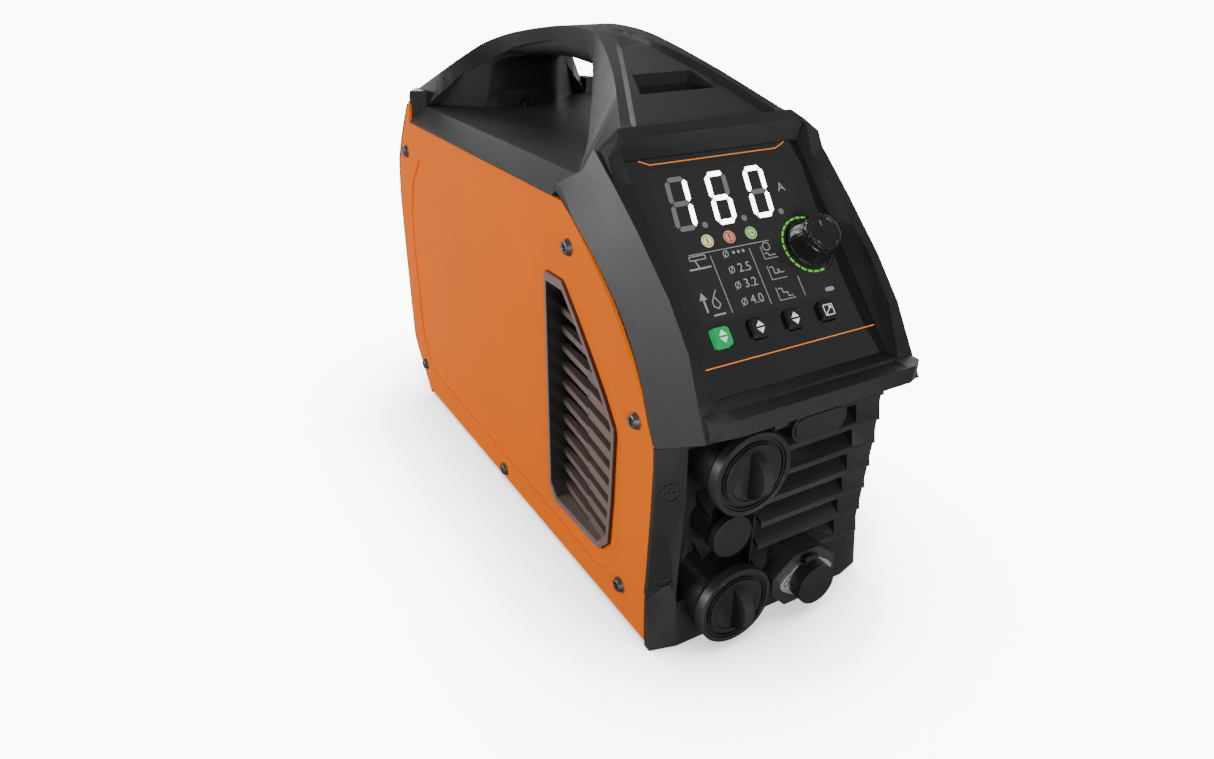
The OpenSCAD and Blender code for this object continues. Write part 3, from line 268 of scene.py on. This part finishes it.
M = {
    "orange_paint": paint("orange_paint", (0.96, 0.172, 0.0)),
    "dark_plastic": plastic("dark_plastic", (0.0125, 0.0125, 0.013), 0.40, 1100.0, 0.30, 0.34),
    "grille_plastic": plastic("grille_plastic", (0.017, 0.017, 0.0175), 0.34, 1200.0, 0.22, 0.36),
    "cover_plastic": plastic("cover_plastic", (0.0115, 0.0115, 0.012), 0.34, 1300.0, 0.18),
    # the slat colour is a painted reflection, pinkish from the floor; the plastic's own colour is the dark wall
    # colour
    "vent_plastic": slatted("vent_plastic", (0.17, 0.125, 0.115), (0.012, 0.012, 0.012)),
    "black_rubber": plastic("black_rubber", (0.0075, 0.0075, 0.0078), 0.55, 700.0, 0.5),
    "key_plastic": plastic("key_plastic", (0.014, 0.014, 0.0145), 0.3, 1500.0, 0.12),
    "knob_plastic": plastic("knob_plastic", (0.0085, 0.0085, 0.009), 0.20, 1500.0, 0.03, coat=0.3),
    "component_plastic": plastic("component_plastic", (0.02, 0.02, 0.022), 0.5, 800.0, 0.3),
    "red_rocker": plastic("red_rocker", (0.36, 0.012, 0.010), 0.28, 900.0, 0.1, coat=0.4),
    "zinc_steel": metal("zinc_steel", (0.55, 0.56, 0.57), 0.36, (1, 8, 1)),
    "aluminium_fins": metal("aluminium_fins", (0.74, 0.75, 0.76), 0.34, (1, 12, 1)),
    "nickel_flange": metal("nickel_flange", (0.92, 0.93, 0.95), 0.46, (1, 1, 1), 0.02),
    "brass": metal("brass", (0.78, 0.55, 0.22), 0.3),
    "copper": metal("copper", (0.78, 0.36, 0.16), 0.32),
    "ferrite": plastic("ferrite", (0.045, 0.045, 0.047), 0.6, 500.0, 0.6),
    "black_screws": metal("black_screws", (0.22, 0.22, 0.225), 0.30, (1, 1, 1), 0.12),
    "smoked_glass": dark_glass("smoked_glass"),
    "display_film": printed("display_film", (0.030, 0.030, 0.031), 0.22),
    "green_board": circuit("green_board"),
    "green_light": lamp("green_light", (0.10, 1.0, 0.16), 2.2),
    "ring_light": lamp("ring_light", (0.16, 1.0, 0.05), 0.8),
    "key_light": lamp("key_light", (0.0, 0.62, 0.14), 0.62, (0.0, 0.10, 0.03)),
    "digit_on": lamp("digit_on", (1.0, 1.0, 1.0), 9.0),
    # the unlit segments and the printed marks below glow faintly: painted light, they are no lamps
    "digit_off": printed("digit_off", (0.12, 0.12, 0.12), 0.3, 0.8),
    "mark_grey": printed("mark_grey", (0.20, 0.20, 0.195), 0.3, 1.1),
    "mark_white": printed("mark_white", (0.8, 0.8, 0.8), 0.4, 0.6),
    "mark_orange": printed("mark_orange", (0.86, 0.22, 0.01), 0.35, 0.9),
    "lamp_yellow": lamp("lamp_yellow", (0.95, 0.85, 0.34), 1.3),
    "lamp_red": lamp("lamp_red", (0.90, 0.32, 0.18), 1.1),
    "lamp_green": lamp("lamp_green", (0.40, 0.80, 0.26), 1.1),
}

node_look = {n["node"]: n["material_slot"] for n in frame["record"]["subparts"]}
special = {"front_grille": "grille_plastic", "upper_socket_cover": "cover_plastic",
           "lower_socket_cover": "cover_plastic", "blank_plug": "cover_plastic",
           "left_vent": "vent_plastic", "right_vent": "vent_plastic", "encoder_knob": "knob_plastic",
           "light_ring": "ring_light", "mode_button": "key_light"}


# ---------------------------------------------------------------- modifiers for carried-over CAD nodes

def smoothing_group(name, angle, drop_normals):
    """Geometry nodes: joins the loose corners, then shades smooth except at edges over the angle."""
    group = bpy.data.node_groups.new(name, "GeometryNodeTree")
    group.interface.new_socket("Geometry", in_out="INPUT", socket_type="NodeSocketGeometry")
    group.interface.new_socket("Geometry", in_out="OUTPUT", socket_type="NodeSocketGeometry")
    nodes, links = group.nodes, group.links
    start = nodes.new("NodeGroupInput")
    end = nodes.new("NodeGroupOutput")
    flow = start.outputs[0]
    if drop_normals:
        drop = nodes.new("GeometryNodeRemoveAttribute")
        drop.inputs["Name"].default_value = "custom_normal"
        links.new(flow, drop.inputs[0])
        join = nodes.new("GeometryNodeMergeByDistance")
        join.inputs["Distance"].default_value = 0.000004
        links.new(drop.outputs[0], join.inputs[0])
        flow = join.outputs[0]
    faces = nodes.new("GeometryNodeSetShadeSmooth")
    faces.domain = "FACE"
    faces.inputs["Shade Smooth"].default_value = True
    links.new(flow, faces.inputs[0])
    sharp = nodes.new("GeometryNodeSetShadeSmooth")
    sharp.domain = "EDGE"
    sharp.inputs["Shade Smooth"].default_value = False
    turn = nodes.new("GeometryNodeInputMeshEdgeAngle")
    over = nodes.new("ShaderNodeMath")
    over.operation = "GREATER_THAN"
    over.inputs[1].default_value = math.radians(angle)
    links.new(turn.outputs["Unsigned Angle"], over.inputs[0])
    links.new(over.outputs[0], sharp.inputs["Selection"])
    links.new(faces.outputs[0], sharp.inputs[0])
    links.new(sharp.outputs[0], end.inputs[0])
    return group


PREPARE = smoothing_group("prepare_edges", 33, True)
SMOOTH = smoothing_group("smooth_edges", 42, False)


def finish_edges(obj, width, segments=2, angle=31, dissolve=True):
    """Rounds the sharp edges of an object by width mm and shades it cleanly."""
    obj.modifiers.new("prepare", "NODES").node_group = PREPARE
    if dissolve:
        flat = obj.modifiers.new("flat", "DECIMATE")
        flat.decimate_type = "DISSOLVE"
        flat.angle_limit = math.radians(0.6)
    bevel = obj.modifiers.new("bevel", "BEVEL")
    bevel.width = width * MM
    bevel.segments = segments
    bevel.limit_method = "ANGLE"
    bevel.angle_limit = math.radians(angle)
    bevel.use_clamp_overlap = True
    bevel.miter_outer = "MITER_ARC"
    obj.modifiers.new("smooth", "NODES").node_group = SMOOTH
    weigh = obj.modifiers.new("weigh", "WEIGHTED_NORMAL")
    weigh.keep_sharp = True
    weigh.weight = 80


edge_width = {"control_hood": 0.9, "top_cover": 1.6, "front_grille": 0.6, "left_side_panel": 0.5,
              "right_side_panel": 0.5, "left_vent": 0.35, "right_vent": 0.35, "rear_panel": 0.8,
              "display_glass": 0.15, "encoder_knob": 0.35, "upper_socket_cover": 0.45,
              "lower_socket_cover": 0.45, "blank_plug": 0.7, "link_socket": 0.3, "link_cap": 0.6,
              "side_panel_screws": 0.25, "feet": 0.5}

for node, obj in frame["nodes"].items():
    look = M[special.get(node, node_look[node])]
    obj.data.materials.clear()
    obj.data.materials.append(look)
    moulded = node in ("control_hood", "top_cover")
    finish_edges(obj, edge_width.get(node, 0.25), 3 if moulded else 2, dissolve=not moulded)


# ---------------------------------------------------------------- small pieces printed on the panel

def new_piece(name, mesh, look, body, matrix=None):
    obj = bpy.data.objects.new(name, mesh)
    bpy.context.scene.collection.objects.link(obj)
    if matrix is not None:
        obj.matrix_world = matrix
    mesh.materials.append(M[look])
    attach(obj, body)
    return obj


class Print:
    """Flat shapes drawn in the glass plane in mm, given a little height."""

    def __init__(self, name, look, slot="display_film", base=0.03, height=0.08, body="case"):
        self.name, self.look, self.slot, self.body = name, look, slot, body
        self.base, self.height = base * MM, height * MM
        self.mesh = bmesh.new()

    def shape(self, points):
        low = [self.mesh.verts.new((x * MM, y * MM, self.base)) for x, y in points]
        high = [self.mesh.verts.new((x * MM, y * MM, self.base + self.height)) for x, y in points]
        count = len(points)
        self.mesh.faces.new(high)
        self.mesh.faces.new(list(reversed(low)))
        for i in range(count):
            k = (i + 1) % count
            self.mesh.faces.new((low[i], low[k], high[k], high[i]))

    def line(self, a, b, width):
        (ax, ay), (bx, by) = a, b
        length = math.hypot(bx - ax, by - ay)
        nx, ny = -(by - ay) / length * width / 2, (bx - ax) / length * width / 2
        self.shape([(ax - nx, ay - ny), (bx - nx, by - ny), (bx + nx, by + ny), (ax + nx, ay + ny)])

    def path(self, points, width):
        for a, b in zip(points, points[1:]):
            self.line(a, b, width)

    def disc(self, x, y, r, count=28):
        self.shape([(x + r * math.cos(2 * math.pi * i / count), y + r * math.sin(2 * math.pi * i / count))
                    for i in range(count)])

    def arc(self, x, y, r, width, start=0.0, end=360.0, count=28):
        for i in range(count):
            a = math.radians(start + (end - start) * i / count)
            b = math.radians(start + (end - start) * (i + 1) / count)
            inner, outer = r - width / 2, r + width / 2
            self.shape([(x + inner * math.cos(a), y + inner * math.sin(a)),
                        (x + outer * math.cos(a), y + outer * math.sin(a)),
                        (x + outer * math.cos(b), y + outer * math.sin(b)),
                        (x + inner * math.cos(b), y + inner * math.sin(b))])

    def done(self):
        mesh = bpy.data.meshes.new(self.name)
        bmesh.ops.recalc_face_normals(self.mesh, faces=self.mesh.faces)
        self.mesh.to_mesh(mesh)
        self.mesh.free()
        return new_piece(self.name, mesh, self.look, self.body, GLASS)


def words(name, text, x, y, size, look):
    """Generic figures or a unit sign, centred at x, y in the glass plane."""
    curve = bpy.data.curves.new(name, "FONT")
    curve.body = text
    curve.size = size * MM
    curve.align_x = "CENTER"
    curve.align_y = "CENTER"
    curve.extrude = 0.04 * MM
    obj = bpy.data.objects.new(name + "_curve", curve)
    bpy.context.scene.collection.objects.link(obj)
    bpy.context.view_layer.update()
    mesh = bpy.data.meshes.new_from_object(obj.evaluated_get(bpy.context.evaluated_depsgraph_get()))
    bpy.data.objects.remove(obj)
    mesh.materials.clear()
    place = GLASS @ Matrix.Translation((x * MM, y * MM, 0.07 * MM))
    return new_piece(name, mesh, look, "case", place)


SLANT = 0.1275


def segment_shapes(x, y, w, h, t):
    """The seven bars of a slanted digit, a to g, as lists of points."""
    half = h / 2
    k = t / 2
    gap = 0.42

    def across(cy):
        return [(k + gap, cy), (t, cy + k - 0.1), (w - t, cy + k - 0.1), (w - k - gap, cy),
                (w - t, cy - k + 0.1), (t, cy - k + 0.1)]

    def upright(cx, low, high):
        return [(cx, low + gap), (cx + k - 0.1, low + k + gap), (cx + k - 0.1, high - k - gap),
                (cx, high - gap), (cx - k + 0.1, high - k - gap), (cx - k + 0.1, low + k + gap)]

    low, mid, high = k, half, h - k
    shapes = [across(high), upright(w - k, mid, high), upright(w - k, low, mid), across(low),
              upright(k, low, mid), upright(k, mid, high), across(mid)]
    return [[(x + px + SLANT * py, y + py) for px, py in shape] for shape in shapes]


digit_on = Print("digits_lit", "digit_on")
digit_off = Print("digits_unlit", "digit_off")
for left, lit in ((-34.4, "bc"), (-13.1, "acdefg"), (8.1, "abcdef")):
    for letter, shape in zip("abcdefg", segment_shapes(left - 0.3, 73.8, 11.6, 26.0, 2.6)):
        (digit_on if letter in lit else digit_off).shape(shape)
for x in (-19.4, 2.0, 23.3):
    digit_off.disc(x, 75.3, 1.5)
digit_on.done()
digit_off.done()

window = Print("display_window", "display_film", base=0.008, height=0.015)
window.shape([(-39.4, 31.8), (35.6, 31.8), (35.6, 103.5), (-39.4, 103.5)])
window.done()

lines = Print("panel_lines", "mark_orange")
lines.line((-glass_half / MM + 1.5, 13.0), (glass_half / MM - 0.2, 13.0), 0.42)
lines.path([(-40.2, 109.4), (-35.2, 106.9), (34.9, 106.9), (41.2, 109.6)], 0.42)
lines.done()

rules = Print("panel_rules", "mark_grey")
rules.line((-33.5, 62.8), (10.2, 62.8), 0.35)
rules.line((-22.9, 34), (-22.9, 61), 0.35)
rules.line((-1.8, 34), (-1.8, 61), 0.35)
rules.line((17.7, 34), (17.7, 43.6), 0.35)
# electrode holder over a work piece
rules.path([(-35.6, 56.2), (-24.4, 56.2)], 0.8)
rules.path([(-33.8, 62.0), (-25.6, 62.0), (-25.6, 60.2), (-33.8, 60.2), (-33.8, 62.0)], 0.45)
rules.path([(-31.4, 60.2), (-30.4, 56.6)], 0.6)
# rising arrow beside a spark
rules.path([(-34.6, 36.4), (-34.6, 43.0)], 0.9)
rules.shape([(-36.6, 42.2), (-32.6, 42.2), (-34.6, 45.6)])
rules.path([(-27.0, 45.6), (-30.6, 40.8), (-30.6, 38.4), (-28.6, 37.2), (-27.0, 39.0), (-29.0, 42.8)], 0.5)
rules.path([(-32.4, 34.6), (-26.2, 34.6)], 0.8)
# three small current curves
rules.path([(4.2, 54.4), (4.2, 60.6)], 0.35)
rules.path([(4.2, 54.4), (11.6, 54.4)], 0.35)
rules.arc(7.4, 60.2, 1.9, 0.45, 0, 360, 20)
rules.path([(5.2, 57.0), (7.0, 57.0), (7.0, 55.8), (10.8, 55.8)], 0.45)
rules.path([(3.6, 44.4), (3.6, 51.2)], 0.35)
rules.path([(3.6, 44.4), (12.0, 44.4)], 0.35)
rules.path([(4.6, 50.2), (6.4, 50.2), (6.4, 47.0), (8.6, 47.0), (8.6, 49.0), (9.6, 47.0), (11.6, 47.0)], 0.45)
rules.path([(3.6, 34.4), (3.6, 40.6)], 0.35)
rules.path([(3.6, 34.4), (12.4, 34.4)], 0.35)
rules.path([(4.6, 39.8), (6.6, 39.8), (6.6, 37.6), (9.0, 37.6), (9.0, 35.6), (11.4, 35.6)], 0.45)
# pill mark
rules.path([(30.6, 34.4), (33.8, 34.4)], 1.9)
rules.disc(30.6, 34.4, 0.95, 16)
rules.disc(33.8, 34.4, 0.95, 16)
# diameter signs
for y in (60.4, 52.8, 45.4, 37.6):
    rules.arc(-14.9, y, 1.35, 0.42, 0, 360, 18)
    rules.line((-16.2, y - 1.9), (-13.6, y + 1.9), 0.38)
for x in (-10.6, -8.0, -5.4):
    rules.disc(x, 60.4, 0.75, 14)
rules.done()
for size_text, y in (("2.5", 52.8), ("3.2", 45.4), ("4.0", 37.6)):
    words("size_" + size_text.replace(".", "_"), size_text, -8.0, y, 5.9, "mark_grey")
words("unit_mark", "A", 28.6, 87.0, 6.2, "mark_grey")

for name, x, look in (("lamp_power", -21.4, "lamp_yellow"), ("lamp_fault", -9.6, "lamp_red"),
                      ("lamp_ready", 2.4, "lamp_green")):
    ring = Print(name, look)
    ring.arc(x, 67.8, 2.75, 0.55, 0, 360, 32)
    ring.disc(x, 67.8, 2.1, 28)
    ring.done()
    sign = Print(name + "_sign", "display_film", base=0.12, height=0.03)
    if x < -20:
        sign.path([(x, 66.4), (x, 69.2)], 0.6)
    elif x < 0:
        sign.path([(x, 66.8), (x, 69.3)], 0.6)
        sign.disc(x, 66.1, 0.34, 12)
    else:
        sign.path([(x - 1.3, 67.8), (x - 0.5, 67.8)], 0.5)
        sign.path([(x + 0.3, 67.8), (x + 1.3, 67.8)], 0.5)
    sign.done()


# ---------------------------------------------------------------- marks on the keys

def key_mark(node, joint, kind):
    x, s = on_glass(joints[joint]["pos_m"])
    body = joints[joint]["child"]
    mark = Print(node + "_mark", "mark_white", base=2.6, height=0.06, body=body)
    if kind == "updown":
        mark.shape([(x - 2.1, s + 0.45), (x + 2.1, s + 0.45), (x, s + 2.9)])
        mark.shape([(x + 2.1, s - 0.45), (x - 2.1, s - 0.45), (x, s - 2.9)])
    else:
        mark.path([(x - 2.5, s - 2.4), (x + 2.5, s - 2.4), (x + 2.5, s + 2.4), (x - 2.5, s + 2.4),
                   (x - 2.5, s - 2.4)], 0.4)
        mark.line((x - 2.4, s - 2.3), (x + 1.2, s + 1.2), 0.4)
        mark.shape([(x + 1.8, s + 1.8), (x + 1.6, s + 0.2), (x + 0.2, s + 1.6)])
    mark.done()


for node, joint in button_joints.items():
    key_mark(node, joint, "square" if node == "save_button" else "updown")

# ---------------------------------------------------------------- lit ring and knob

ring = Print("ring_cells", "ring_light", base=-0.1, height=0.22, slot="green_light")
dark_ring = Print("ring_cells_dark", "key_plastic", base=-0.1, height=0.22, slot="green_light")
for cell in range(20):
    middle = 60 + cell * 14.6
    (ring if 1 <= cell <= 15 else dark_ring).arc(knob_x, knob_s, 13.5, 0.95, middle - 5.5, middle + 5.5, 3)
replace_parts(ring.done(), "light_ring")
dark_ring.done()

# radius, height over the glass, depth of the side facets, depth of the notches round the top
KNOB = [(0.0, 1.0, 0, 0), (11.4, 1.0, 0, 0), (11.6, 1.3, 0, 0), (11.6, 2.6, 0, 0), (11.3, 3.1, 0.2, 0),
        (10.8, 5.6, 1, 0), (9.7, 9.7, 1, 0), (9.2, 10.2, 0, 0), (8.9, 10.4, 0, 0), (8.9, 10.7, 0, 0),
        (9.3, 11.0, 0, 1), (9.2, 12.4, 0, 1), (8.8, 12.95, 0, 0.8), (7.6, 13.0, 0, 0), (7.3, 12.6, 0, 0),
        (6.6, 12.5, 0, 0), (6.3, 12.8, 0, 0), (0.0, 12.8, 0, 0)]


def knob_mesh(turns=200):
    """Lathe of the knob with slanted facets on its side and lobes round its top."""
    shape = bmesh.new()
    rows = []
    for r, h, facet, notch in KNOB:
        row = []
        for i in range(turns):
            a = 2 * math.pi * i / turns
            swing = (a + 0.035 * h) % (math.pi / 5) - math.pi / 10
            flat = math.cos(math.pi / 10) / math.cos(swing)
            q = r * (1 - facet + facet * flat) - 0.45 * notch * max(0.0, math.cos(10 * a)) ** 3
            row.append(shape.verts.new((q * math.cos(a) * MM, q * math.sin(a) * MM, h * MM)))
        rows.append(row)
    for one, two in zip(rows, rows[1:]):
        for i in range(turns):
            k = (i + 1) % turns
            shape.faces.new((one[i], one[k], two[k], two[i]))
    bmesh.ops.remove_doubles(shape, verts=shape.verts, dist=1e-7)
    bmesh.ops.recalc_face_normals(shape, faces=shape.faces)
    mesh = bpy.data.meshes.new("knob")
    shape.to_mesh(mesh)
    shape.free()
    return mesh


knob_place = GLASS @ Matrix.Translation((knob_x * MM, knob_s * MM, 0))
knob = new_piece("knob_grip", knob_mesh(), "knob_plastic", "knob", knob_place)
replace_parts(knob, "encoder_knob")
finish_edges(knob, 0.1, 2, 40, dissolve=False)

# the pointer uses the unlit-segment look, with its painted glow
pointer = Print("knob_mark", "digit_off", base=12.75, height=0.16, body="knob", slot="key_plastic")
pointer.line((knob_x, knob_s + 3.0), (knob_x, knob_s + 5.6), 0.7)
pointer.done()


# ---------------------------------------------------------------- stage, light and camera

# the floor and the sky are brighter for the camera than for the object
FLOOR_SEEN, FLOOR_LIT = 10.0, 0.12
SKY_SEEN, SKY_LIT = 10.0, 0.26
FLOOR_HALF = 6.0


def stage_floor():
    """A white floor that darkens softly near the object: a painted soft shadow from ambient occlusion."""
    mesh = bpy.data.meshes.new("floor")
    corners = [(-1, -1), (1, -1), (1, 1), (-1, 1)]
    mesh.from_pydata([(x * FLOOR_HALF, y * FLOOR_HALF, 0) for x, y in corners], [], [(0, 1, 2, 3)])
    floor = bpy.data.objects.new("floor", mesh)
    bpy.context.scene.collection.objects.link(floor)
    n = Nodes("floor_look")
    soft = n.noise(3.0, 3.0)
    # ambient occlusion darkens the floor's glow near the object: a painted contact shadow
    near = n.add("ShaderNodeAmbientOcclusion", samples=12)
    near.inputs["Distance"].default_value = 0.11
    shade = n.ramp(near.outputs["AO"], [(0.35, (0.10, 0.10, 0.10)), (0.72, (0.42, 0.42, 0.42)),
                                        (0.97, (1, 1, 1))])
    n.principled(Base_Color=n.blend(soft, (0.22, 0.22, 0.22), (0.25, 0.25, 0.25)),
                 Roughness=0.55, Specular_IOR_Level=0.1,
                 Emission_Color=shade)
    seen = n.add("ShaderNodeLightPath").outputs["Is Camera Ray"]
    n.principled(Emission_Strength=n.span(seen, FLOOR_LIT, FLOOR_SEEN))
    mesh.materials.append(n.material)


def area(name, place, target, size, power, size_y):
    light = bpy.data.lights.new(name, "AREA")
    light.energy = power
    light.shape = "RECTANGLE"
    light.size = size
    light.size_y = size_y
    obj = bpy.data.objects.new(name, light)
    bpy.context.scene.collection.objects.link(obj)
    obj.location = place
    obj.rotation_euler = (Vector(target) - Vector(place)).to_track_quat("-Z", "Y").to_euler()


stage_floor()
world = bpy.data.worlds.new("studio")
bpy.context.scene.world = world
world.use_nodes = True
sky = world.node_tree.nodes["Background"]
sky.inputs["Color"].default_value = (1, 1, 1, 1)
seen = world.node_tree.nodes.new("ShaderNodeLightPath")
strength = world.node_tree.nodes.new("ShaderNodeMapRange")
strength.inputs["To Min"].default_value = SKY_LIT
strength.inputs["To Max"].default_value = SKY_SEEN
world.node_tree.links.new(seen.outputs["Is Camera Ray"], strength.inputs["Value"])
world.node_tree.links.new(strength.outputs["Result"], sky.inputs["Strength"])
area("side_light", (-1.2, 0.62, 0.40), (0, 0, 0.12), 1.0, 15.5, 0.6)
area("far_light", (1.3, 0.35, 0.5), (0, 0, 0.12), 0.9, 7, 0.6)
area("rear_light", (0.2, 1.4, 0.6), (0, 0.1, 0.12), 0.7, 5, 0.5)
area("front_light", (-0.25, -1.35, 0.34), (0, -0.1, 0.12), 0.6, 12, 0.4)
area("top_light", (0.25, 0.6, 1.3), (0, 0, 0.2), 0.5, 3.2, 0.5)

camera = bpy.data.cameras.new("camera")
camera.sensor_width = 36
camera.lens = 25.475
camera.clip_start = 0.01
eye = bpy.data.objects.new("camera", camera)
bpy.context.scene.collection.objects.link(eye)
forward = Vector((0.4457, 0.7694, -0.4575)).normalized()
up = Vector((0.2267, 0.3974, 0.8892))
right = forward.cross(up).normalized()
up = right.cross(forward)
base = Vector((0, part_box("left_side_panel")[0].y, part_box("left_side_panel")[0].z))
# the side panels' front edge lies 3.4 mm ahead of their lower front corner
corner = base + Vector((0, 3.4 * MM, 0))
turn = Matrix((right, up, -forward)).transposed().to_4x4()
eye.matrix_world = Matrix.Translation(corner + Vector((-238.65, -260.92, 302.21)) * MM) @ turn
bpy.context.scene.camera = eye
